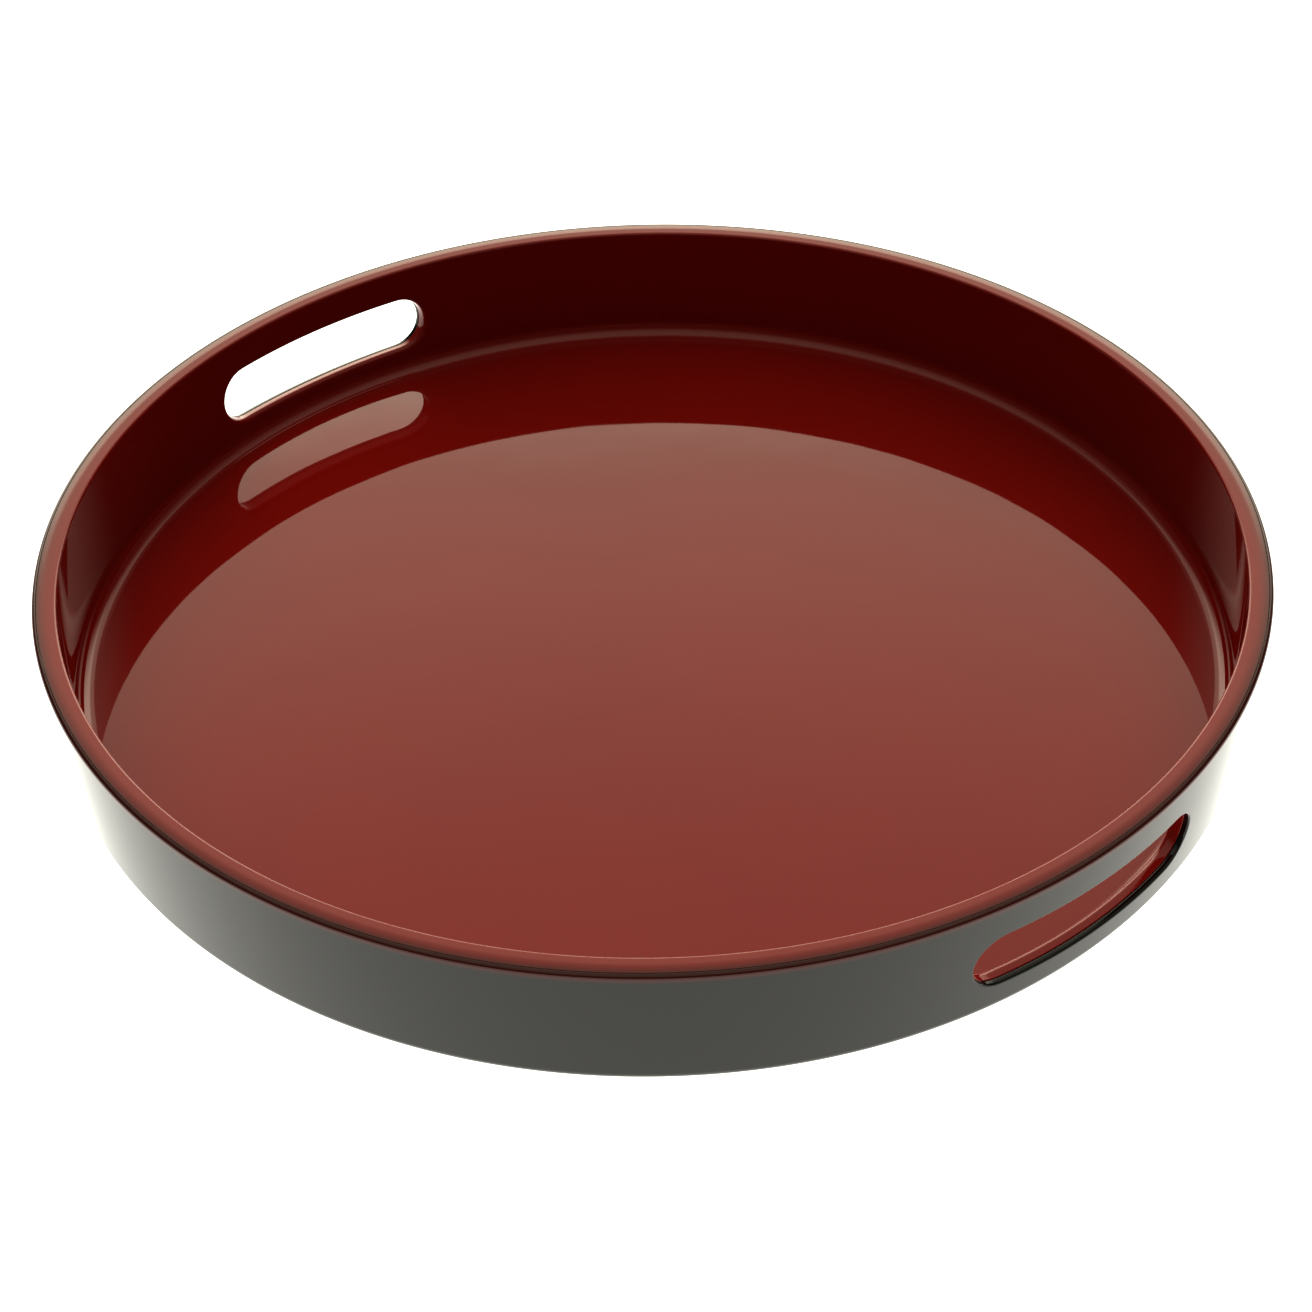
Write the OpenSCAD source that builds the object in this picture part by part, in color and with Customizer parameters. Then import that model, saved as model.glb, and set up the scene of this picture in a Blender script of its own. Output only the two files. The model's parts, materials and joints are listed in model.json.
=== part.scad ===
// Round serving tray with a hand slot through its left and right sides.
//
// A red dish nests in a black shell. The dish carries the floor, the inside wall and the rim's
// top; the shell carries the base, the outside wall and the rim's outer corner. They meet at the
// rim, where the dish's flange lies in the shell's edge and a lip under it snaps into the shell,
// on the base, and round each hand slot, where a collar on the dish runs out to the back of the
// shell. Four rubber pads under the base touch the table.
//
// Origin: centre of the tray on the table. +Z is up, the hand slots are on +X and -X.

/* [Overall] */
// Outside diameter over the rim
tray_d = 380; // [300:1:460]
// Height from the table to the top of the rim
tray_h = 44.5; // [38:0.5:60]
// How far the outside wall leans in, from the rim down to the base
wall_taper = 3.6; // [1:0.1:5]

/* [Rim] */
// Width of the rim, from the inside wall to the outside
rim_w = 7.5; // [7:0.1:12]
// Thickness of the rim's flange
rim_t = 2.2; // [2:0.1:3]
// Rise of the rim's top between its two corners
rim_crown = 0.2; // [0.1:0.05:0.45]
// Radius of the ridge along the rim's top
rim_crown_r = 18; // [5:1:20]
// Radius of the rim's inner corner
rim_inner_r = 0.9; // [0.4:0.1:1.5]
// Width of the shell's edge, which forms the rim's outer corner
shell_edge_w = 1.3; // [1.2:0.1:1.6]
// Radius of the rim's outer corner
rim_outer_r = 1.2; // [0.4:0.1:1.2]
// Radius left at a sharp edge
edge_r = 0.3; // [0.1:0.05:0.4]

/* [Dish] */
// Thickness of the dish's wall
dish_wall_t = 1.6; // [1.2:0.1:2]
// Thickness of the dish's floor
dish_floor_t = 1; // [0.8:0.1:3]
// How far the inside wall leans in, from the rim down to the floor
dish_lean = 0.9; // [0:0.1:1.5]
// Radius of the cove between the floor and the inside wall
cove_r = 5; // [1:0.1:6]

/* [Shell] */
// Thickness of the shell's wall
shell_wall_t = 1.8; // [1.2:0.1:2]
// Thickness of the base
base_t = 1; // [1:0.1:3]
// Radius between the base and the outside wall
base_corner_r = 3.7; // [1:0.1:4]
// Radius inside the shell, between the base and the wall
base_inner_r = 0.8; // [0.2:0.1:1]
// Number of ribs between the two hand slots, on each half of the shell
rib_count = 11; // [3:1:15]
// Thickness of a rib
rib_t = 1.2; // [0.8:0.1:2]
// Angle that each half's first and last rib keep from the slots' axis
rib_start = 25; // [22:1:40]

/* [Hand slots] */
// Length of a slot at the inside wall
slot_l = 86; // [70:1:120]
// Height of a slot at the inside wall
slot_h = 19.5; // [14:0.5:22]
// Height of a slot's centre above the table, half-way through the wall
slot_z = 21.8; // [20:0.1:26]
// How much a slot grows on each side, from the inside wall to the outside
slot_flare = 0.4; // [0:0.1:1.5]
// Slope of a slot, down to the outside, in degrees
slot_tilt = 6; // [0:1:15]
// Thickness of the dish's collar round a slot
collar_t = 1.6; // [1.2:0.1:2.5]

/* [Joint between dish and shell] */
// Gap left where the dish's visible edges meet the shell
seam_gap = 0.15; // [0.1:0.05:0.3]
// Thickness of the lip under the rim
lip_t = 1.2; // [1:0.1:1.5]
// Length of the lip
lip_l = 4; // [3:0.1:6]
// Gap between the lip and the shell
lip_clear = 0.12; // [0.05:0.01:0.2]
// Radius of the snap bead on the lip
bead_r = 0.4; // [0.3:0.05:0.5]
// Gap round the bead in its groove
bead_clear = 0.08; // [0.05:0.01:0.15]
// Gap between a rib and the dish
rib_clear = 0.2; // [0.1:0.05:0.4]

/* [Foot pads] */
// Diameter of a pad
pad_d = 16; // [10:0.5:24]
// How far a pad stands out under the base
pad_stand = 0.8; // [0.6:0.1:2]
// Depth of a pad's recess in the base
pad_recess = 0.4; // [0.3:0.1:0.6]
// Gap round a pad in its recess
pad_clear = 0.15; // [0.05:0.05:0.3]
// Distance from the base's edge in to a pad's centre
pad_edge = 36.5; // [20:0.5:60]
// Chamfer round a pad's lower edge
pad_chamfer = 0.3; // [0.1:0.1:0.5]

/* [Hidden] */

RED = [0.45, 0.03, 0.02];
BLACK = [0.06, 0.06, 0.055];
RUBBER = [0.12, 0.12, 0.12];

// A revolved surface is exact; each rounded corner of a profile has this many steps
$fn = 180;
corner_steps = 6;
// Steps round a full turn of a slot's ends
slot_end_steps = 48;
// Extra length of a cutting tool past what it cuts
over = 10;
tiny = 0.01;

rim_r = tray_d / 2;
dish_top_r = rim_r - rim_w;
// The rim's two corners lie below its ridge, whose rounding just reaches tray_h
ridge_slope = atan(2 * rim_crown / rim_w);
ridge_z = tray_h + rim_crown_r * (1 / cos(ridge_slope) - 1);
rim_edge_z = ridge_z - rim_crown;
base_z = pad_stand;
base_top_z = base_z + base_t;
floor_z = base_top_z + dish_floor_t;
flange_z = tray_h - rim_t;
shell_top_z = flange_z - seam_gap;
// The outside wall aims at a sharp corner whose rounding just reaches rim_r
wall_lean = atan(wall_taper / (rim_edge_z - base_z));
corner_r = rim_r + rim_outer_r
    * ((cos(ridge_slope) + sin(wall_lean)) / cos(wall_lean - ridge_slope) - 1);
shell_edge_r = rim_r - shell_edge_w;
flange_r = shell_edge_r - seam_gap;
lip_z = flange_z - lip_l;
bead_z = lip_z + 2 * bead_r;

// Radii of the four wall surfaces at height z
function dish_in(z) = dish_top_r - dish_lean * (tray_h - z) / (tray_h - floor_z);
function dish_out(z) = dish_in(z) + dish_wall_t;
function shell_out(z) = corner_r - wall_taper * (rim_edge_z - z) / (rim_edge_z - base_z);
function shell_in(z) = shell_out(z) - shell_wall_t;

// Height of the rim's top at radius r, outside its ridge
function rim_top(r) = rim_edge_z + (rim_r - r) * tan(ridge_slope);

pad_ring_r = shell_out(base_z) - pad_edge;

// The lip follows the shell's inside
function lip_out(z) = shell_in(z) - lip_clear;
function lip_in(z) = lip_out(z) - lip_t;

// A slot's bar is centred half-way through the wall
slot_mid_r = (dish_in(slot_z) + shell_out(slot_z)) / 2;
slot_wall = shell_out(slot_z) - dish_in(slot_z);
flare_slope = slot_flare / slot_wall;
slot_reach = slot_wall / 2 + over;

function unit(v) = v / norm(v);

// Points of the arc of radius r that rounds corner b between a and c
function corner_arc(a, b, c, r) =
    let (u = unit(a - b), v = unit(c - b), half = acos(u * v) / 2)
    let (mid = b + unit(u + v) * r / sin(half))
    let (from = b + u * r / tan(half) - mid, to = b + v * r / tan(half) - mid)
    let (start = atan2(from[1], from[0]), turn = atan2(to[1], to[0]) - start)
    let (sweep = turn > 180 ? turn - 360 : turn < -180 ? turn + 360 : turn)
    [for (i = [0 : corner_steps])
        mid + r * [cos(start + sweep * i / corner_steps), sin(start + sweep * i / corner_steps)]];

// A closed outline from corners [radius, height, rounding]
function rounded(corners) =
    let (n = len(corners))
    let (p = [for (c = corners) [c[0], c[1]]])
    [for (i = [0 : n - 1])
        each corners[i][2] == 0 ? [p[i]]
            : corner_arc(p[(i + n - 1) % n], p[i], p[(i + 1) % n], corners[i][2])];

// A profile turned round the tray's axis, with its seam at +Y, well clear of the slots
module revolved(corners) {
    rotate([0, 0, 90]) rotate_extrude() polygon(rounded(corners));
}

// A bar along X with round ends, as high as slot_h at the inside wall, that flares outwards
module flared_bar(grow) {
    r_mid = (slot_h + slot_flare) / 2 + grow;
    r_change = flare_slope * slot_reach;
    rotate([0, 90, 0])
        hull()
            for (side = [-1, 1])
                translate([0, side * (slot_l - slot_h) / 2, -slot_reach])
                    cylinder(h = 2 * slot_reach, r1 = r_mid - r_change, r2 = r_mid + r_change,
                             $fn = slot_end_steps);
}

// The same bar in each of the two slots' places
module at_slots(grow) {
    for (turn = [0, 180])
        rotate([0, 0, turn])
            translate([slot_mid_r, 0, slot_z])
                rotate([0, slot_tilt, 0])
                    flared_bar(grow);
}

// The hollow between the two walls, from inside the dish's wall out to the seam
module collar_space() {
    revolved([
        [dish_out(base_top_z) - dish_wall_t / 2, base_top_z + base_inner_r, 0],
        [shell_in(base_top_z) - seam_gap, base_top_z + base_inner_r, 0],
        [shell_in(lip_z) - seam_gap, lip_z, 0],
        [dish_out(lip_z) - dish_wall_t / 2, lip_z, 0]]);
}

// The red dish: floor, cove, inside wall, rim, lip and the collars of the two slots
module inner_dish() {
    color(RED)
    difference() {
        union() {
            revolved([
                [0, base_top_z, 0],
                [dish_out(base_top_z), base_top_z, cove_r + dish_wall_t],
                [dish_out(flange_z), flange_z, edge_r],
                [lip_in(flange_z), flange_z, edge_r],
                [lip_in(lip_z), lip_z, edge_r],
                [lip_out(lip_z), lip_z, edge_r],
                [lip_out(flange_z), flange_z, 0],
                [flange_r, flange_z, edge_r],
                [flange_r, rim_top(flange_r), 0],
                [rim_r - rim_w / 2, ridge_z, rim_crown_r],
                [dish_in(rim_edge_z), rim_edge_z, rim_inner_r],
                [dish_in(floor_z), floor_z, cove_r],
                [0, floor_z, 0]]);
            snap_ring(bead_r);
            intersection() {
                at_slots(collar_t);
                collar_space();
            }
        }
        at_slots(0);
    }
}

// Round ring on the lip's outside, also used, larger, to cut its groove in the shell
module snap_ring(r) {
    rotate([0, 0, 90])
        rotate_extrude()
            translate([lip_out(bead_z), bead_z])
                circle(r);
}

// Upright ribs that steady the two walls against each other, clear of the slots and the lip
module ribs() {
    step = (180 - 2 * rib_start) / (rib_count - 1);
    top_z = lip_z - edge_r;
    intersection() {
        for (half = [0, 180], i = [0 : rib_count - 1])
            rotate([0, 0, half + rib_start + i * step])
                translate([dish_in(base_top_z), -rib_t / 2, base_z])
                    cube([rim_w + over, rib_t, tray_h]);
        revolved([
            [dish_out(base_top_z) + rib_clear, base_top_z - tiny, 0],
            [shell_in(base_top_z) + shell_wall_t / 2, base_top_z - tiny, 0],
            [shell_in(top_z) + shell_wall_t / 2, top_z, 0],
            [dish_out(top_z) + rib_clear, top_z, 0]]);
    }
}

// The black shell: base, outside wall and ribs
module outer_shell() {
    color(BLACK)
    difference() {
        union() {
            revolved([
                [0, base_z, 0],
                [shell_out(base_z), base_z, base_corner_r],
                [corner_r, rim_top(corner_r), rim_outer_r],
                [shell_edge_r, rim_top(shell_edge_r), 0],
                [shell_edge_r, shell_top_z, 0],
                [shell_in(shell_top_z), shell_top_z, edge_r],
                [shell_in(base_top_z), base_top_z, base_inner_r],
                [0, base_top_z, 0]]);
            ribs();
        }
        at_slots(0);
        snap_ring(bead_r + bead_clear);
        for (turn = [45 : 90 : 315])
            at_pad(turn)
                translate([0, 0, base_z - over])
                    cylinder(h = over + pad_recess, d = pad_d + 2 * pad_clear);
    }
}

// Moves a piece to a pad's place, at this angle round the tray
module at_pad(turn) {
    rotate([0, 0, turn])
        translate([pad_ring_r, 0, 0])
            children();
}

// One rubber pad, stuck in its recess
module foot_pad() {
    color(RUBBER)
    union() {
        translate([0, 0, pad_chamfer])
            cylinder(h = base_z + pad_recess - pad_chamfer, d = pad_d);
        cylinder(h = pad_chamfer, d1 = pad_d - 2 * pad_chamfer, d2 = pad_d);
    }
}

inner_dish();
outer_shell();
at_pad(225) foot_pad();  // foot_front_left
at_pad(315) foot_pad();  // foot_front_right
at_pad(135) foot_pad();  // foot_back_left
at_pad(45) foot_pad();  // foot_back_right
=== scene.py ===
"""Round lacquered serving tray: the looks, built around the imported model.

A red dish nests in a black shell, with a hand slot through its left and right sides, and stands
on four rubber pads. Everything is in metres, with the origin at the middle of the tray on the
table, +Z up and the slots on +X and -X.
"""

import json
import math

import bmesh
import bpy
import numpy as np
from mathutils import Matrix, Vector


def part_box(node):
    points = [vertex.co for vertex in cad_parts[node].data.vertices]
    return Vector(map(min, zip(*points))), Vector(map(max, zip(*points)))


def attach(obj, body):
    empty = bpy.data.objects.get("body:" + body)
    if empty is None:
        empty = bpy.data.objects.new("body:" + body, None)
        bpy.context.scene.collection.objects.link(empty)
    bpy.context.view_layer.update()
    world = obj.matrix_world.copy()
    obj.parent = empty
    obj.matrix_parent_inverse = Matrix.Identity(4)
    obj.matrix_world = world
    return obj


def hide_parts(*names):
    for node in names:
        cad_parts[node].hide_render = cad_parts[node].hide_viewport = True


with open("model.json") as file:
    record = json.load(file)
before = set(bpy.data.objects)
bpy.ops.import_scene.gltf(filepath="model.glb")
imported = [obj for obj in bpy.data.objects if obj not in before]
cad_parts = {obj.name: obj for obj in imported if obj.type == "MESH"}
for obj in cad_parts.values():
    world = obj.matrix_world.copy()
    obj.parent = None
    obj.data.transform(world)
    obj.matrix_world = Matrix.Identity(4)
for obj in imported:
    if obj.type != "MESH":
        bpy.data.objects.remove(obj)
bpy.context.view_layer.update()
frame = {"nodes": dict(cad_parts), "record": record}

bl_info = {
    "name": "Lacquered Serving Tray",
    "version": (1, 0, 0),
    "blender": (4, 5, 0),
    "location": "View3D > Sidebar > Tray",
    "description": "Builds a round red and black lacquered serving tray with two hand slots",
    "category": "Object",
}

MM = 0.001

# What the frame gives: the rim's radius and height, the base, and both faces of the floor
DISH_LOW, DISH_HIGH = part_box("inner_dish")
SHELL_LOW, SHELL_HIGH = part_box("outer_shell")
RIM_R = round(SHELL_HIGH.x, 4)
TRAY_TOP = round(DISH_HIGH.z, 5)
BASE_Z = SHELL_LOW.z
BASE_TOP = DISH_LOW.z
FLOOR_Z = next(m["pos_m"][2] for m in frame["record"]["mounts"] if m["name"] == "serving_floor")

# Steps of the meshes: round the tray, across half a slot's patch, up the patch, in from it, and
# along a rounding
AROUND = 480
PATCH_HALF = 21
PATCH_ROWS = 14
PATCH_LAYERS = 9
ARC_STEPS = 9
# A row this close to each rounding keeps the flat beside it flat in the reflections
HOLD = 0.05 * MM
# Points closer than this are joined, and edges shorter than a sliver are closed up
JOIN = 0.002 * MM
SLIVER = 0.001 * MM
# Rounds of moving a slot's outline onto a wall, and the share of the way it goes in each
WALL_ROUNDS = 30
WALL_SHARE = 0.95
# How strongly the rows of a slot's patch crowd towards the slot
CROWDING = 1.5
# The small corner where the lip meets the flange, as a share of an edge's rounding
LIP_CORNER = 1 / 3


# ---------------------------------------------------------------- settings

def length(name, description, millimetres):
    """A length setting, given in millimetres and kept in metres."""
    return bpy.props.FloatProperty(
        name=name, description=description, default=millimetres * MM, min=0.0,
        unit="LENGTH", precision=5)


def colour(name, description, hex_code):
    """A colour setting, given as an sRGB hex code and kept linear."""
    return bpy.props.FloatVectorProperty(
        name=name, description=description, default=linear(hex_code), size=3,
        min=0.0, max=1.0, subtype="COLOR")


def share(name, description, default, most=1.0):
    """A plain number setting from 0 up to most."""
    return bpy.props.FloatProperty(
        name=name, description=description, default=default, min=0.0, max=most)


def linear(hex_code):
    """Linear red, green and blue of an sRGB hex code."""
    parts = [int(hex_code[i:i + 2], 16) / 255 for i in (1, 3, 5)]
    return tuple(c / 12.92 if c <= 0.04045 else ((c + 0.055) / 1.055) ** 2.4 for c in parts)


class TraySizes(bpy.types.PropertyGroup):
    """Sizes of the tray's sections; its overall size comes from the frame."""

    rim_width: length("Rim width", "From the inside wall to the outside", 7.5)
    rim_thickness: length("Rim thickness", "Height of the rim's flange above the seam", 2.2)
    rim_rise: length("Rim rise", "How far the rim's ridge stands above its two corners", 0.2)
    ridge_radius: length("Ridge radius", "Rounding of the ridge along the rim", 18)
    inner_corner: length("Inner corner", "Rounding of the rim's inner corner", 0.9)
    shell_edge: length("Shell edge", "Width of the shell's edge that frames the rim", 1.3)
    outer_corner: length("Outer corner", "Rounding of the rim's outer corner", 1.2)
    edge: length("Edge", "Rounding left at a sharp edge", 0.3)
    seam_edge: length("Seam edge", "Rounding of the two edges along the rim's seam", 0.05)
    wall_taper: length("Wall taper", "How far the outside leans in from the rim to the base", 3.6)
    dish_lean: length("Dish lean", "How far the inside leans in from the rim to the floor", 0.9)
    dish_wall: length("Dish wall", "Thickness of the dish's wall", 1.6)
    shell_wall: length("Shell wall", "Thickness of the shell's wall", 1.8)
    cove: length("Cove", "Rounding between the floor and the inside wall", 5)
    base_corner: length("Base corner", "Rounding between the base and the outside wall", 3.7)
    base_inner: length("Base inner corner", "Rounding inside the shell", 0.8)
    seam_gap: length("Seam gap", "Gap between the dish's edges and the shell", 0.15)
    lip_length: length("Lip length", "Length of the lip under the rim", 4)
    lip_thickness: length("Lip thickness", "Thickness of the lip under the rim", 1.2)
    lip_gap: length("Lip gap", "Gap between the lip and the shell", 0.12)


class SlotSizes(bpy.types.PropertyGroup):
    """Sizes of the two hand slots."""

    across: length("Length", "Length of a slot at the inside wall", 86)
    height: length("Height", "Height of a slot at the inside wall", 19.5)
    centre: length("Centre", "Height of a slot's centre above the table", 21.8)
    flare: length("Flare", "How much a slot grows on each side towards the outside", 0.4)
    tilt: bpy.props.FloatProperty(
        name="Tilt", description="Slope of a slot, down to the outside",
        default=math.radians(6), min=0.0, max=math.radians(20), subtype="ANGLE")
    collar: length("Collar", "Thickness of the dish's collar round a slot", 1.6)
    inner_rounding: length("Inner rounding", "Rounding of a slot's edge at the inside wall", 1.8)
    outer_rounding: length("Outer rounding", "Rounding of a slot's edge at the outside wall", 0.7)
    patch_low: length("Patch bottom", "Where the mesh patch round a slot begins", 8)
    patch_high: length("Patch top", "Where the mesh patch round a slot ends", 36.3)


class Finishes(bpy.types.PropertyGroup):
    """Colours and gloss of the lacquers and the rubber."""

    red: colour("Red", "Red lacquer in full light", "#93180F")
    red_deep: colour("Deep red", "Red lacquer where it lies thicker", "#8A160D")
    red_edge: colour("Red edge", "Red lacquer where it runs out over black at the rim", "#480B07")
    black: colour("Black", "Black lacquer", "#141412")
    black_edge: colour("Black edge", "Black lacquer with red overspray on the rim", "#48120B")
    rubber: colour("Rubber", "Foot pads", "#1C1C1B")
    gloss_roughness: share("Gloss roughness", "Roughness of the polished lacquer", 0.03)
    lacquer_ior: share("Lacquer IOR", "Refractive index of the lacquer", 1.5, 2.0)


class StudioSettings(bpy.types.PropertyGroup):
    """The camera's place and the studio's light."""

    azimuth: bpy.props.FloatProperty(
        name="Azimuth", description="Where the camera stands round the tray; 0 is the front",
        default=math.radians(50.2), subtype="ANGLE")
    elevation: bpy.props.FloatProperty(
        name="Elevation", description="The camera's height above the horizon",
        default=math.radians(39.16), subtype="ANGLE")
    roll: bpy.props.FloatProperty(
        name="Roll", description="The camera's turn about its own view",
        default=math.radians(-1.15), subtype="ANGLE")
    distance: length("Distance", "From the camera to the point it looks at", 867.2)
    aside: length("Aside", "How far right of the tray's middle the camera looks", 0.67)
    nearer: length("Nearer", "How far this side of the tray's middle the camera looks", 7.09)
    below: length("Below", "How far under the rim's top the camera looks", 43)
    lens: bpy.props.FloatProperty(
        name="Lens", description="Focal length on a 36 mm wide sensor", default=74.8,
        unit="CAMERA")
    backdrop: share("Backdrop", "Light from half-way up behind the tray", 1.65, 10.0)
    horizon: share("Horizon", "What the backdrop adds low down behind the tray", 2.0, 10.0)
    slope: share("Slope", "What the backdrop adds between the horizon and the top", 0.9, 10.0)
    above: share("Above", "Light from overhead", 1.15, 10.0)
    front: share("Front", "Light from low down in front of the tray", 0.12, 10.0)
    table: share("Table", "Light that comes up through the table", 2.0, 10.0)
    warm_light: colour("Warm light", "Colour of the light round the tray", "#FFFDE8")
    table_light: colour("Table light", "Colour of the light from the table", "#FFFEF7")
    contrast: share("Contrast", "Contrast of the picture", 1.35, 2.0)


# ---------------------------------------------------------------- surfaces

def lattice(points, closed=False):
    """Quads over a grid of points [across, along, 3], joined end to start across if closed."""
    across, along = points.shape[:2]
    index = np.arange(across * along).reshape(across, along)
    if closed:
        index = np.vstack([index, index[:1]])
    quads = np.stack([index[:-1, :-1], index[1:, :-1], index[1:, 1:], index[:-1, 1:]], axis=-1)
    return points.reshape(-1, 3), quads.reshape(-1, 4)


def piece_from(name, surfaces, material):
    """One closed mesh from surfaces that meet edge to edge, smooth and facing outwards."""
    starts = np.cumsum([0] + [len(points) for points, _ in surfaces[:-1]])
    points = np.vstack([points for points, _ in surfaces])
    quads = np.vstack([quads + start for (_, quads), start in zip(surfaces, starts)])
    mesh = bpy.data.meshes.new(name)
    mesh.from_pydata(points.tolist(), [], quads.tolist())
    tidy = bmesh.new()
    tidy.from_mesh(mesh)
    bmesh.ops.remove_doubles(tidy, verts=tidy.verts, dist=JOIN)
    bmesh.ops.dissolve_degenerate(tidy, edges=tidy.edges, dist=SLIVER)
    bmesh.ops.recalc_face_normals(tidy, faces=tidy.faces)
    tidy.to_mesh(mesh)
    tidy.free()
    mesh.shade_smooth()
    mesh.materials.append(material)
    piece = bpy.data.objects.new(name, mesh)
    bpy.context.scene.collection.objects.link(piece)
    return piece


def rounded(corners):
    """Points of an outline of straight lines whose corners [radius, height, rounding] are arcs.

    Each arc touches both lines, and a holding point stands just before and just after it.
    """
    corners = np.array(corners, float)
    outline = [corners[0, :2]]
    for before, here, after in zip(corners[:-2], corners[1:-1], corners[2:]):
        corner, radius = here[:2], here[2]
        back = (before[:2] - corner) / np.linalg.norm(before[:2] - corner)
        on = (after[:2] - corner) / np.linalg.norm(after[:2] - corner)
        half = math.acos(np.clip(back @ on, -1, 1)) / 2
        reach = radius / math.tan(half)
        middle = corner + (back + on) / np.linalg.norm(back + on) * radius / math.sin(half)
        start = math.atan2(*(corner + back * reach - middle)[::-1])
        turn = (math.atan2(*(corner + on * reach - middle)[::-1]) - start + math.pi) % math.tau
        angles = start + (turn - math.pi) * np.linspace(0, 1, ARC_STEPS + 1)
        outline.append(corner + back * (reach + HOLD))
        outline.extend(middle + radius * np.stack([np.cos(angles), np.sin(angles)], axis=-1))
        outline.append(corner + on * (reach + HOLD))
    outline.append(corners[-1, :2])
    return np.array(outline)


def angles_round(first=0, last=AROUND):
    """Angles of the mesh's columns from number first to number last."""
    return np.arange(first, last + 1) * math.tau / AROUND


def on_round(angle, radius, height):
    """Points at these angles, radii and heights round the tray's axis."""
    return np.stack(np.broadcast_arrays(
        radius * np.cos(angle), radius * np.sin(angle), height), axis=-1)


def revolved(outline):
    """The outline turned once round the tray's axis."""
    angle = angles_round(0, AROUND - 1)[:, None]
    return lattice(on_round(angle, outline[None, :, 0], outline[None, :, 1]), closed=True)


class Walls:
    """The tray's walls and slots as formulas, from the settings."""

    def __init__(self, context):
        self.sizes = context.scene.tray_sizes
        self.slots = context.scene.tray_slots
        sizes, slots = self.sizes, self.slots
        self.flange_z = TRAY_TOP - sizes.rim_thickness
        self.lip_z = self.flange_z - sizes.lip_length
        self.ridge_slope = math.atan(2 * sizes.rim_rise / sizes.rim_width)
        self.ridge_z = TRAY_TOP + sizes.ridge_radius * (1 / math.cos(self.ridge_slope) - 1)
        self.rim_edge_z = self.ridge_z - sizes.rim_rise
        self.shell_top_z = self.flange_z - sizes.seam_gap
        self.shell_edge_r = RIM_R - sizes.shell_edge
        self.flange_r = self.shell_edge_r - sizes.seam_gap
        lean = math.atan(sizes.wall_taper / (self.rim_edge_z - BASE_Z))
        self.corner_r = RIM_R + sizes.outer_corner * (
            (math.cos(self.ridge_slope) + math.sin(lean)) / math.cos(lean - self.ridge_slope) - 1)
        wall = self.shell_out(slots.centre) - self.dish_in(slots.centre)
        self.slot_middle = (self.shell_out(slots.centre) + self.dish_in(slots.centre)) / 2
        self.flare_slope = slots.flare / wall

    def dish_in(self, z):
        """Radius of the inside wall: a line that leans in from the rim to the floor."""
        lean = self.sizes.dish_lean / (TRAY_TOP - FLOOR_Z)
        return RIM_R - self.sizes.rim_width - lean * (TRAY_TOP - z)

    def dish_out(self, z):
        """Radius of the dish wall's hidden back."""
        return self.dish_in(z) + self.sizes.dish_wall

    def shell_out(self, z):
        """Radius of the outside wall: a line that leans in from the rim's corner to the base.

        The corner it aims at lies just outside the rim, so that its rounding reaches the rim.
        """
        lean = self.sizes.wall_taper / (self.rim_edge_z - BASE_Z)
        return self.corner_r - lean * (self.rim_edge_z - z)

    def rim_top(self, radius):
        """Height of the rim's top outside its ridge: a line down to the rim's corner."""
        return self.rim_edge_z + (RIM_R - radius) * math.tan(self.ridge_slope)

    def shell_in(self, z):
        """Radius of the shell wall's hidden face."""
        return self.shell_out(z) - self.sizes.shell_wall

    def seam(self, z):
        """Radius at which the dish's collar ends, just short of the shell."""
        return self.shell_in(z) - self.sizes.seam_gap

    def lip_out(self, z):
        """Radius of the lip's outside, which follows the shell."""
        return self.shell_in(z) - self.sizes.lip_gap

    def lip_in(self, z):
        """Radius of the lip's inside."""
        return self.lip_out(z) - self.sizes.lip_thickness

    def slot_loop(self, wall, grow=0.0):
        """Where the slot's flared, tilted bar, made bigger by grow, meets a wall.

        The bar's section is a line with round ends; each of its points runs along a straight
        ruling of the bar, and is moved along it until its distance from the tray's axis is the
        wall's radius at its height.
        """
        slots = self.slots
        half_line = (slots.across - slots.height) / 2
        centre_sign, bend = slot_outline(half_line, slots.height / 2)
        along = np.zeros(len(bend))
        for _ in range(WALL_ROUNDS):
            radius = (slots.height + slots.flare) / 2 + grow + self.flare_slope * along
            y = centre_sign * half_line + radius * np.cos(bend)
            up = radius * np.sin(bend)
            x = self.slot_middle + along * math.cos(slots.tilt) + up * math.sin(slots.tilt)
            z = slots.centre - along * math.sin(slots.tilt) + up * math.cos(slots.tilt)
            along = along + (wall(z) - np.hypot(x, y)) * WALL_SHARE
        return np.stack([x, y, z], axis=-1)


def slot_outline(half_line, radius):
    """Evenly spaced points round a line with round ends, as (share of the half line, angle).

    They start at the lower left 45 degree point and go along the bottom, up the right end, along
    the top and down the left end, as many on each side as the patch round the slot has.
    """
    quarter = math.pi / 4
    low = np.linspace(-1, 1, 2 * PATCH_HALF + 1)[:-1]
    arc = radius * quarter
    reach = low * (half_line + arc)
    on_line = np.clip(reach / half_line, -1, 1)
    past = (np.abs(reach) - half_line).clip(0) / radius * np.sign(reach)
    bottom_bend = -math.pi / 2 + past
    bottom = np.stack([on_line, bottom_bend])
    rise = np.linspace(-quarter, quarter, PATCH_ROWS + 1)[:-1]
    right = np.stack([np.ones_like(rise), rise])
    top = np.stack([-on_line, bottom_bend + math.pi])
    left = np.stack([-np.ones_like(rise), rise + math.pi])
    return np.hstack([bottom, right, top, left])


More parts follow.
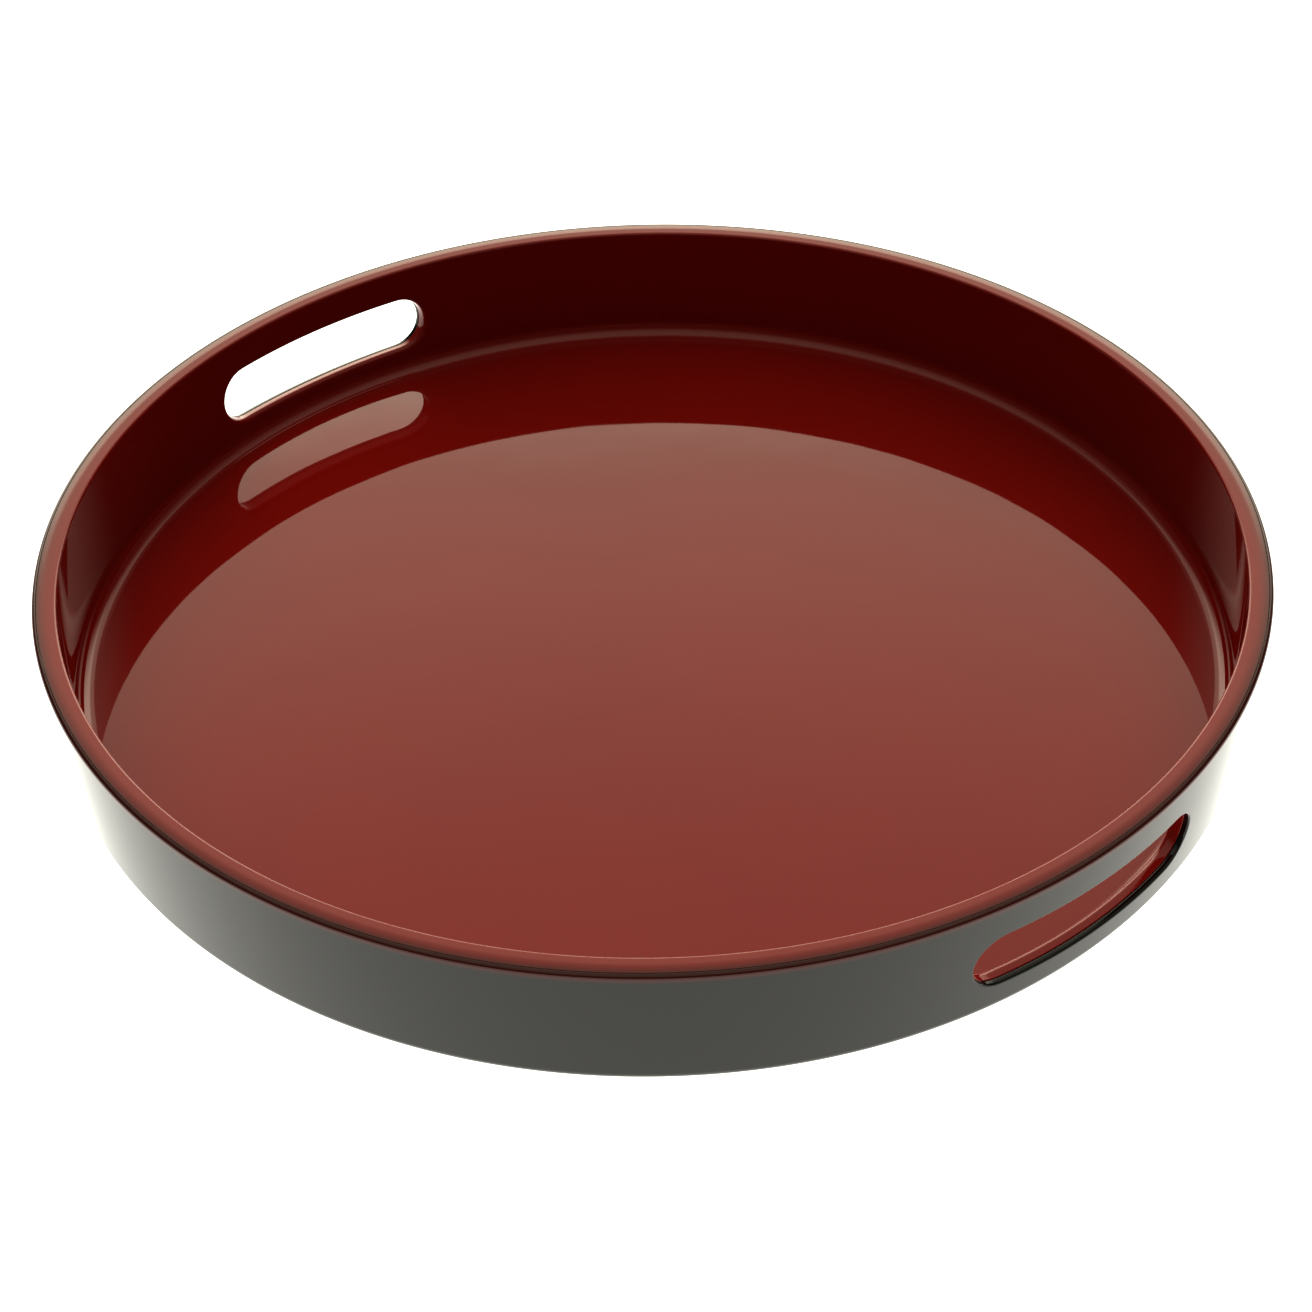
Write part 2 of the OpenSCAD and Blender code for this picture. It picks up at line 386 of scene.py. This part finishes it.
def patch_border(low, high):
    """(angle, height) of the points round a slot's patch, in the same order as slot_outline."""
    column = np.arange(-PATCH_HALF, PATCH_HALF) * math.tau / AROUND
    row = np.linspace(low, high, PATCH_ROWS + 1)
    side = PATCH_HALF * math.tau / AROUND
    angle = np.concatenate([column, np.full(PATCH_ROWS, side), -column,
                            np.full(PATCH_ROWS, -side)])
    height = np.concatenate([np.full(2 * PATCH_HALF, low), row[:-1],
                             np.full(2 * PATCH_HALF, high), row[:0:-1]])
    return angle, height


def half_turn(points):
    """The points turned by 180 degrees round the tray's axis."""
    return points * np.array([-1.0, -1.0, 1.0])


def slotted_band(wall, low, high, loop):
    """A wall between two heights, with a hole inside this loop and one opposite.

    Away from the slots it is a plain grid of angle and height. Round each slot the grid runs
    from the patch's border in to the loop, evenly in angle and height but closer near the loop,
    and its radius is the wall's at each height.
    """
    heights = np.linspace(low, high, PATCH_ROWS + 1)
    surfaces = []
    for start in (0, AROUND // 2):
        angle = angles_round(start + PATCH_HALF, start + AROUND // 2 - PATCH_HALF)[:, None]
        surfaces.append(lattice(on_round(angle, wall(heights)[None, :], heights[None, :])))
    angle, height = patch_border(low, high)
    loop_angle = np.arctan2(loop[:, 1], loop[:, 0])
    share_in = np.linspace(0, 1, PATCH_LAYERS + 1)[None, :]
    share_in = 1 - (1 - share_in) ** CROWDING
    angle = angle[:, None] * (1 - share_in) + loop_angle[:, None] * share_in
    height = height[:, None] * (1 - share_in) + loop[:, 2:3] * share_in
    patch = on_round(angle, wall(height), height)
    surfaces.append(lattice(patch, closed=True))
    surfaces.append(lattice(half_turn(patch), closed=True))
    return surfaces


def off_edge(edge, wall, distance):
    """The loop on the wall this far outside the edge, square to it in the unrolled wall."""
    radius = wall(edge[:, 2])
    flat = np.stack([np.arctan2(edge[:, 1], edge[:, 0]) * radius, edge[:, 2]], axis=-1)
    ahead = np.roll(flat, -1, axis=0) - np.roll(flat, 1, axis=0)
    ahead /= np.linalg.norm(ahead, axis=1)[:, None]
    flat = flat + distance * np.stack([ahead[:, 1], -ahead[:, 0]], axis=-1)
    return on_round(flat[:, 0] / radius, wall(flat[:, 1]), flat[:, 1])


def toward(start, end, distance):
    """Points this far from start on the way to end."""
    way = end - start
    return start + way / np.linalg.norm(way, axis=1)[:, None] * distance


def fillet(start, corner, end):
    """Loops that round a corner: the conic from start to end that both lines touch.

    Its middle weight is the sine of half the corner's angle, which makes it a circle's arc.
    """
    back = (start - corner) / np.linalg.norm(start - corner, axis=1)[:, None]
    on = (end - corner) / np.linalg.norm(end - corner, axis=1)[:, None]
    half = np.arccos(np.clip((back * on).sum(axis=1), -1, 1)) / 2
    weight = np.sin(half)[:, None]
    loops = []
    for t in np.linspace(0, 1, ARC_STEPS + 1):
        parts = (1 - t) ** 2, 2 * t * (1 - t) * weight, t ** 2
        loops.append((parts[0] * start + parts[1] * corner + parts[2] * end) / sum(parts))
    return loops


def tubes(loops):
    """The surface through a row of loops, and the same one on the tray's other side."""
    points = np.stack(loops, axis=1)
    return [lattice(points, closed=True), lattice(half_turn(points), closed=True)]


def slot_edge(edge, wall, inside, rounding):
    """(loop on the wall, loops) for a slot's rounded edge, with its holding loops.

    The wall side of the rounding lies in the wall, and the other on the slot's rulings, on the
    way to the loop inside.
    """
    start = off_edge(edge, wall, rounding)
    hold = off_edge(edge, wall, rounding + HOLD)
    end = toward(edge, inside, rounding)
    return hold, [hold, *fillet(start, edge, end), toward(edge, inside, rounding + HOLD)]


# ---------------------------------------------------------------- materials

# Widths in millimetres of what each lacquer's noises show: thicker and thinner coat, the waves
# left by moulding and polishing, and the orange peel
COAT_CLOUD = 90
POLISH_WAVE = 28
ORANGE_PEEL = 2.2
WAVE_HEIGHT = 0.05 * MM
PEEL_HEIGHT = 0.0006 * MM
# The gloss varies by this much either way, over this part of the cloud's values
HAZE = 0.3
HAZE_FROM, HAZE_TO = 0.3, 0.7
# The rim's colour goes over into the edge's between these distances from the outside, slowly at
# first, and only this close under the rim's top
FADE_START = 7.5 * MM
FADE_END = 1.2 * MM
FADE_POWER = 3.0
FADE_LOW = 3 * MM
FADE_FULL = 1.5 * MM

# The rubber: widths in millimetres of its moulded grain and of its dusty patches
GRAIN = 0.5
DUST = 6
GRAIN_HEIGHT = 0.05 * MM
GRAIN_STRENGTH = 0.6
DUSTIER = 1.8
RUBBER_ROUGHNESS = 0.75


def add_node(tree, kind, inputs=None, **settings):
    """Adds a node, with its settings and with its inputs set or linked."""
    made = tree.nodes.new(kind)
    for name, value in settings.items():
        setattr(made, name, value)
    for name, value in (inputs or {}).items():
        if isinstance(value, bpy.types.NodeSocket):
            tree.links.new(value, made.inputs[name])
        else:
            made.inputs[name].default_value = value
    return made


def new_material(name):
    """An empty node material and its tree."""
    material = bpy.data.materials.new(name)
    material.use_nodes = True
    material.node_tree.nodes.clear()
    return material, material.node_tree


def per_metre(millimetres):
    """The noise scale whose features are about this many millimetres wide."""
    return 1 / (millimetres * MM)


def sprayed_lacquer(name, thin, thick, edge, finish):
    """High gloss lacquer sprayed on moulded ABS and polished.

    It gives the eye a sharp, faintly wandering reflection over a deep flat colour: broad waves
    left by the moulding and polishing, a fine orange peel, and a colour that deepens slowly
    where the coat lies thicker. Towards the rim's outer corner the coat is sprayed thinner and
    thinner, and its colour goes over into the edge's.
    """
    material, tree = new_material(name)
    place = add_node(tree, "ShaderNodeTexCoord").outputs["Object"]
    cloud = add_node(tree, "ShaderNodeTexNoise", {
        "Vector": place, "Scale": per_metre(COAT_CLOUD), "Detail": 2.0, "Roughness": 0.5})
    coat = add_node(tree, "ShaderNodeMix", {
        "Factor": cloud.outputs["Fac"], "A": (*thin, 1), "B": (*thick, 1)}, data_type="RGBA")
    flat = add_node(tree, "ShaderNodeVectorMath", {0: place, 1: (1, 1, 0)}, operation="MULTIPLY")
    radius = add_node(tree, "ShaderNodeVectorMath", {0: flat.outputs[0]}, operation="LENGTH")
    outward = add_node(tree, "ShaderNodeMapRange", {
        "Value": radius.outputs["Value"], "From Min": RIM_R - FADE_START,
        "From Max": RIM_R - FADE_END})
    fading = add_node(tree, "ShaderNodeMath", {0: outward.outputs["Result"], 1: FADE_POWER},
                      operation="POWER")
    height = add_node(tree, "ShaderNodeSeparateXYZ", {"Vector": place}).outputs["Z"]
    on_top = add_node(tree, "ShaderNodeMapRange", {
        "Value": height, "From Min": TRAY_TOP - FADE_LOW, "From Max": TRAY_TOP - FADE_FULL})
    at_edge = add_node(tree, "ShaderNodeMath", {
        0: fading.outputs[0], 1: on_top.outputs["Result"]}, operation="MULTIPLY")
    tone = add_node(tree, "ShaderNodeMix", {
        "Factor": at_edge.outputs[0], "A": coat.outputs["Result"], "B": (*edge, 1)},
        data_type="RGBA")
    wave = add_node(tree, "ShaderNodeTexNoise", {
        "Vector": place, "Scale": per_metre(POLISH_WAVE), "Detail": 1.0, "Roughness": 0.4})
    peel = add_node(tree, "ShaderNodeTexNoise", {
        "Vector": place, "Scale": per_metre(ORANGE_PEEL), "Detail": 1.0, "Roughness": 0.5})
    broad = add_node(tree, "ShaderNodeBump", {
        "Height": wave.outputs["Fac"], "Strength": 1.0, "Distance": WAVE_HEIGHT})
    fine = add_node(tree, "ShaderNodeBump", {
        "Height": peel.outputs["Fac"], "Strength": 1.0, "Distance": PEEL_HEIGHT,
        "Normal": broad.outputs["Normal"]})
    haze = add_node(tree, "ShaderNodeMapRange", {
        "Value": cloud.outputs["Fac"], "From Min": HAZE_FROM, "From Max": HAZE_TO,
        "To Min": finish.gloss_roughness * (1 - HAZE),
        "To Max": finish.gloss_roughness * (1 + HAZE)})
    skin = add_node(tree, "ShaderNodeBsdfPrincipled", {
        "Base Color": tone.outputs["Result"], "Roughness": haze.outputs["Result"],
        "IOR": finish.lacquer_ior, "Normal": fine.outputs["Normal"]})
    add_node(tree, "ShaderNodeOutputMaterial", {"Surface": skin.outputs["BSDF"]})
    return material


def moulded_rubber(name, tone):
    """Matt moulded rubber: a fine spark-eroded grain and a slightly dusty, uneven black."""
    material, tree = new_material(name)
    place = add_node(tree, "ShaderNodeTexCoord").outputs["Object"]
    grain = add_node(tree, "ShaderNodeTexNoise", {
        "Vector": place, "Scale": per_metre(GRAIN), "Detail": 3.0})
    dust = add_node(tree, "ShaderNodeTexNoise", {
        "Vector": place, "Scale": per_metre(DUST), "Detail": 3.0})
    dusty = tuple(c * DUSTIER for c in tone)
    shade = add_node(tree, "ShaderNodeMix", {
        "Factor": dust.outputs["Fac"], "A": (*tone, 1), "B": (*dusty, 1)}, data_type="RGBA")
    rough = add_node(tree, "ShaderNodeBump", {
        "Height": grain.outputs["Fac"], "Strength": GRAIN_STRENGTH,
        "Distance": GRAIN_HEIGHT})
    skin = add_node(tree, "ShaderNodeBsdfPrincipled", {
        "Base Color": shade.outputs["Result"], "Roughness": RUBBER_ROUGHNESS,
        "Normal": rough.outputs["Normal"]})
    add_node(tree, "ShaderNodeOutputMaterial", {"Surface": skin.outputs["BSDF"]})
    return material


# ---------------------------------------------------------------- operators

class TRAY_OT_dish(bpy.types.Operator):
    """Make the red lacquered dish: floor, cove, inside wall, rim and slot collars"""

    bl_idname = "tray.dish"
    bl_label = "Red Dish"

    def execute(self, context):
        walls, finish = Walls(context), context.scene.tray_finishes
        sizes, slots = walls.sizes, walls.slots
        low, high = slots.patch_low, slots.patch_high
        inner_edge = walls.slot_loop(walls.dish_in)
        seam_edge = walls.slot_loop(walls.seam)
        seam_outer = walls.slot_loop(walls.seam, slots.collar)
        back_edge = walls.slot_loop(walls.dish_out, slots.collar)
        front_loop, front = slot_edge(inner_edge, walls.dish_in, seam_edge, slots.inner_rounding)
        end_loop, end = slot_edge(seam_edge, walls.seam, inner_edge, sizes.edge)
        surfaces = [
            revolved(rounded([
                [0, FLOOR_Z, 0],
                [walls.dish_in(FLOOR_Z), FLOOR_Z, sizes.cove],
                [walls.dish_in(low), low, 0]])),
            revolved(rounded([
                [walls.dish_in(high), high, 0],
                [walls.dish_in(walls.rim_edge_z), walls.rim_edge_z, sizes.inner_corner],
                [RIM_R - sizes.rim_width / 2, walls.ridge_z, sizes.ridge_radius],
                [walls.flange_r, walls.rim_top(walls.flange_r), sizes.seam_edge],
                [walls.flange_r, walls.flange_z, sizes.edge],
                [walls.lip_out(walls.flange_z), walls.flange_z, sizes.edge * LIP_CORNER],
                [walls.lip_out(walls.lip_z), walls.lip_z, sizes.edge],
                [walls.lip_in(walls.lip_z), walls.lip_z, sizes.edge],
                [walls.lip_in(walls.flange_z), walls.flange_z, sizes.edge],
                [walls.dish_out(walls.flange_z), walls.flange_z, sizes.edge],
                [walls.dish_out(high), high, 0]])),
            revolved(rounded([
                [walls.dish_out(low), low, 0],
                [walls.dish_out(BASE_TOP), BASE_TOP, sizes.cove + sizes.dish_wall],
                [0, BASE_TOP, 0]])),
            *slotted_band(walls.dish_in, low, high, front_loop),
            *slotted_band(walls.dish_out, low, high, back_edge),
            *tubes([*front, *end[::-1], seam_outer, back_edge]),
        ]
        lacquer = sprayed_lacquer("red_urethane_lacquer", finish.red, finish.red_deep,
                                  finish.red_edge, finish)
        dish = piece_from("lacquered_dish", surfaces, lacquer)
        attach(dish, "root")
        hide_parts("inner_dish")
        return {"FINISHED"}


class TRAY_OT_shell(bpy.types.Operator):
    """Make the black lacquered shell: outside wall, base and slot edges"""

    bl_idname = "tray.shell"
    bl_label = "Black Shell"

    def execute(self, context):
        walls, finish = Walls(context), context.scene.tray_finishes
        sizes, slots = walls.sizes, walls.slots
        low, high = slots.patch_low, slots.patch_high
        outer_edge = walls.slot_loop(walls.shell_out)
        inner_edge = walls.slot_loop(walls.shell_in)
        out_loop, outer = slot_edge(outer_edge, walls.shell_out, inner_edge,
                                    slots.outer_rounding)
        in_loop, inner = slot_edge(inner_edge, walls.shell_in, outer_edge, sizes.edge)
        surfaces = [
            revolved(rounded([
                [0, BASE_Z, 0],
                [walls.shell_out(BASE_Z), BASE_Z, sizes.base_corner],
                [walls.shell_out(low), low, 0]])),
            revolved(rounded([
                [walls.shell_out(high), high, 0],
                [walls.corner_r, walls.rim_top(walls.corner_r), sizes.outer_corner],
                [walls.shell_edge_r, walls.rim_top(walls.shell_edge_r), sizes.seam_edge],
                [walls.shell_edge_r, walls.shell_top_z, sizes.seam_edge],
                [walls.shell_in(walls.shell_top_z), walls.shell_top_z, sizes.edge],
                [walls.shell_in(high), high, 0]])),
            revolved(rounded([
                [walls.shell_in(low), low, 0],
                [walls.shell_in(BASE_TOP), BASE_TOP, sizes.base_inner],
                [0, BASE_TOP, 0]])),
            *slotted_band(walls.shell_out, low, high, out_loop),
            *slotted_band(walls.shell_in, low, high, in_loop),
            *tubes([*outer, *inner[::-1]]),
        ]
        lacquer = sprayed_lacquer("black_urethane_lacquer", finish.black, finish.black,
                                  finish.black_edge, finish)
        shell = piece_from("lacquered_shell", surfaces, lacquer)
        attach(shell, "root")
        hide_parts("outer_shell")
        return {"FINISHED"}


class TRAY_OT_pads(bpy.types.Operator):
    """Give the four foot pads their moulded rubber"""

    bl_idname = "tray.pads"
    bl_label = "Foot Pads"

    def execute(self, context):
        finish = context.scene.tray_finishes
        rubber = moulded_rubber("moulded_rubber", finish.rubber)
        for name, pad in frame["nodes"].items():
            if name.startswith("foot_"):
                pad.data.materials.clear()
                pad.data.materials.append(rubber)
        return {"FINISHED"}


class TRAY_OT_studio(bpy.types.Operator):
    """Set up the pale table, the soft light and the camera"""

    bl_idname = "tray.studio"
    bl_label = "Studio"

    def execute(self, context):
        studio = context.scene.tray_studio
        make_table(studio)
        make_light(context.scene, studio)
        make_camera(context.scene, studio)
        context.scene.view_settings.view_transform = "Standard"
        context.scene.view_settings.gamma = 1 / studio.contrast
        return {"FINISHED"}


# ---------------------------------------------------------------- studio

# The table: how much light it gives back, and how far it reaches in metres
TABLE_GREY = (0.2, 0.2, 0.2, 1)
TABLE_REACH = 6.0
# Heights, as the Z of a direction of length 1, between which each part of the light changes
HORIZON_BAND = 0.53, 0.58
SLOPE_BAND = 0.56, 0.72
OVERHEAD_BAND = 0.72, 0.95
FRONT_BAND = 0.45, 0.95
# The backdrop's sides, as the cosine of the angle from straight behind the tray
BACKDROP_SIDES = 0.7, 0.96
# The camera's sensor in millimetres, and the nearest thing it draws in metres
SENSOR_WIDTH = 36
NEAREST_SEEN = 0.01


def make_table(studio):
    """A white translucent table top that glows a little, so it stays white under the tray."""
    material, tree = new_material("white_acrylic_table")
    matt = add_node(tree, "ShaderNodeBsdfDiffuse", {"Color": TABLE_GREY})
    glow = add_node(tree, "ShaderNodeEmission", {
        "Color": (*studio.table_light, 1), "Strength": studio.table})
    both = add_node(tree, "ShaderNodeAddShader", {0: matt.outputs[0], 1: glow.outputs[0]})
    add_node(tree, "ShaderNodeOutputMaterial", {"Surface": both.outputs[0]})
    mesh = bpy.data.meshes.new("table")
    corners = [(x * TABLE_REACH, y * TABLE_REACH, 0)
               for x, y in ((-1, -1), (1, -1), (1, 1), (-1, 1))]
    mesh.from_pydata(corners, [], [(0, 1, 2, 3)])
    mesh.materials.append(material)
    table = bpy.data.objects.new("table", mesh)
    bpy.context.scene.collection.objects.link(table)
    return table


def make_light(scene, studio):
    """Soft light from above, and a backdrop behind the tray that is brightest low down.

    Rays from the camera see the table's white instead, so the tray stands on plain white.
    """
    world = bpy.data.worlds.new("studio")
    world.use_nodes = True
    scene.world = world
    tree = world.node_tree
    tree.nodes.clear()

    def ramp(value, band, low, high):
        """A smooth step from low to high as value goes from the band's start to its end."""
        return add_node(tree, "ShaderNodeMapRange", {
            "Value": value, "From Min": band[0], "From Max": band[1],
            "To Min": low, "To Max": high},
            interpolation_type="SMOOTHSTEP").outputs["Result"]

    way = add_node(tree, "ShaderNodeTexCoord").outputs["Generated"]
    height = add_node(tree, "ShaderNodeSeparateXYZ", {"Vector": way}).outputs["Z"]
    level = add_node(tree, "ShaderNodeVectorMath", {0: way, 1: (1, 1, 0)}, operation="MULTIPLY")
    level = add_node(tree, "ShaderNodeVectorMath", {0: level.outputs[0]}, operation="NORMALIZE")
    behind = (-math.sin(studio.azimuth), math.cos(studio.azimuth), 0)
    facing = add_node(tree, "ShaderNodeVectorMath", {0: level.outputs[0], 1: behind},
                      operation="DOT_PRODUCT").outputs["Value"]
    low = ramp(height, HORIZON_BAND, studio.horizon, 0)
    middle = ramp(height, SLOPE_BAND, studio.slope, 0)
    high = ramp(height, OVERHEAD_BAND, studio.backdrop, studio.above)
    glow = add_node(tree, "ShaderNodeMath", {0: low, 1: middle}, operation="ADD").outputs[0]
    glow = add_node(tree, "ShaderNodeMath", {0: glow, 1: high}, operation="ADD").outputs[0]
    around = ramp(height, FRONT_BAND, studio.front, studio.above)
    strength = add_node(tree, "ShaderNodeMix", {
        "Factor": ramp(facing, BACKDROP_SIDES, 0, 1), "A": around, "B": glow},
        data_type="FLOAT")
    seen = add_node(tree, "ShaderNodeLightPath").outputs["Is Camera Ray"]
    strength = add_node(tree, "ShaderNodeMix", {
        "Factor": seen, "A": strength.outputs["Result"], "B": studio.table},
        data_type="FLOAT")
    light = add_node(tree, "ShaderNodeBackground", {
        "Color": (*studio.warm_light, 1), "Strength": strength.outputs["Result"]})
    add_node(tree, "ShaderNodeOutputWorld", {"Surface": light.outputs["Background"]})


def make_camera(scene, studio):
    """The camera, on a sphere round the point it looks at, with a small roll."""
    turn = Matrix.Rotation(studio.azimuth, 3, "Z")
    target = turn @ Vector((studio.aside, -studio.nearer, TRAY_TOP - studio.below))
    back = turn @ Vector((0, -math.cos(studio.elevation), math.sin(studio.elevation)))
    camera = bpy.data.objects.new("camera", bpy.data.cameras.new("camera"))
    scene.collection.objects.link(camera)
    upright = back.to_track_quat("Z", "Y").to_matrix()
    rolled = upright @ Matrix.Rotation(studio.roll, 3, "Z")
    camera.matrix_world = Matrix.Translation(target + back * studio.distance) @ rolled.to_4x4()
    camera.data.lens = studio.lens
    camera.data.sensor_width = SENSOR_WIDTH
    camera.data.clip_start = NEAREST_SEEN
    scene.camera = camera


# ---------------------------------------------------------------- panel and registration

class TRAY_PT_panel(bpy.types.Panel):
    """Lists the tray's operators and settings"""

    bl_label = "Serving Tray"
    bl_idname = "TRAY_PT_panel"
    bl_space_type = "VIEW_3D"
    bl_region_type = "UI"
    bl_category = "Tray"

    def draw(self, context):
        for operator in STEPS:
            self.layout.operator(operator.bl_idname)
        for name in SETTINGS:
            group = getattr(context.scene, name)
            box = self.layout.box()
            for setting in group.bl_rna.properties.keys():
                if setting not in ("rna_type", "name"):
                    box.prop(group, setting)


STEPS = (TRAY_OT_dish, TRAY_OT_shell, TRAY_OT_pads, TRAY_OT_studio)
SETTINGS = {
    "tray_sizes": TraySizes,
    "tray_slots": SlotSizes,
    "tray_finishes": Finishes,
    "tray_studio": StudioSettings,
}


def register():
    """Add the classes and put the settings on the scene."""
    for made in (*SETTINGS.values(), *STEPS, TRAY_PT_panel):
        bpy.utils.register_class(made)
    for name, group in SETTINGS.items():
        setattr(bpy.types.Scene, name, bpy.props.PointerProperty(type=group))


def unregister():
    """Take the settings and the classes away again."""
    for name in SETTINGS:
        delattr(bpy.types.Scene, name)
    for made in reversed((*SETTINGS.values(), *STEPS, TRAY_PT_panel)):
        bpy.utils.unregister_class(made)


def main():
    """Clear the start-up scene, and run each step."""
    for name in ("Cube", "Light", "Camera"):
        if name in bpy.data.objects:
            bpy.data.objects.remove(bpy.data.objects[name])
    register()
    for operator in STEPS:
        area, name = operator.bl_idname.split(".")
        getattr(getattr(bpy.ops, area), name)()


if __name__ == "__main__":
    main()
